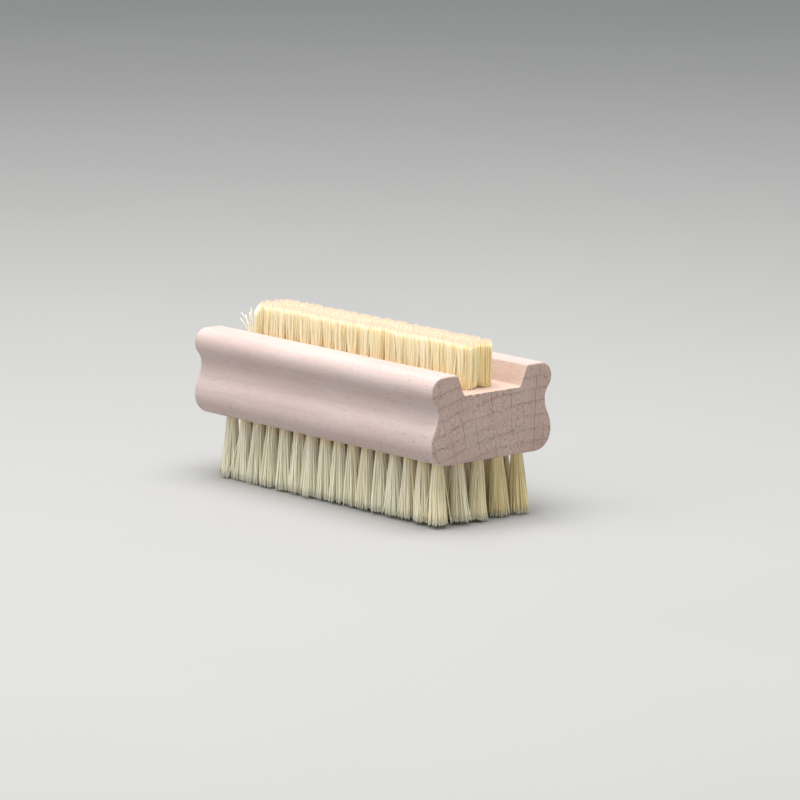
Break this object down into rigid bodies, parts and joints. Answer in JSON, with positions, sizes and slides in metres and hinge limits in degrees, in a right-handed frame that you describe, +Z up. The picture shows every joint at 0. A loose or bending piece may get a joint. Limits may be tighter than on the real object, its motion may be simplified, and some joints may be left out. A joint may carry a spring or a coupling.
{
  "type": "nail brush",
  "caption": "Double-sided wooden nail brush: long fibre tufts under a block with finger grooves, and shorter tufts standing in a channel along its top.",
  "frame": {"origin": "under the middle of the block, on the plane of the long tufts' trimmed ends", "axes": "+X along the block, +Y across it, +Z up from the long tufts to the short ones"},
  "size_m": [0.095, 0.042, 0.0475],
  "materials": {
    "beech": "raw, sanded",
    "fibre": "natural plant fibre",
    "anchor_wire": "drawn flat wire"
  },
  "bodies": {
    "root": {"wood_block": "beech", "lower_tufts_01": "fibre", "lower_tufts_02": "fibre", "lower_tufts_03": "fibre", "lower_tufts_04": "fibre", "lower_tufts_05": "fibre", "lower_tufts_06": "fibre", "lower_tufts_07": "fibre", "lower_tufts_08": "fibre", "lower_tufts_09": "fibre", "lower_tufts_10": "fibre", "lower_tufts_11": "fibre", "lower_tufts_12": "fibre", "lower_tufts_13": "fibre", "lower_tufts_14": "fibre", "lower_tufts_15": "fibre", "lower_tufts_16": "fibre", "upper_tufts_01": "fibre", "upper_tufts_02": "fibre", "upper_tufts_03": "fibre", "upper_tufts_04": "fibre", "upper_tufts_05": "fibre", "upper_tufts_06": "fibre", "upper_tufts_07": "fibre", "upper_tufts_08": "fibre", "upper_tufts_09": "fibre", "upper_tufts_10": "fibre", "upper_tufts_11": "fibre", "upper_tufts_12": "fibre", "upper_tufts_13": "fibre", "upper_tufts_14": "fibre", "upper_tufts_15": "fibre", "upper_tufts_16": "fibre", "upper_tufts_17": "fibre", "upper_tufts_18": "fibre", "lower_anchors_row_1": "anchor_wire", "lower_anchors_row_2": "anchor_wire", "lower_anchors_row_3": "anchor_wire", "lower_anchors_row_4": "anchor_wire", "lower_anchors_row_5": "anchor_wire", "upper_anchors_row_1": "anchor_wire", "upper_anchors_row_2": "anchor_wire"}
  },
  "joints": []
}
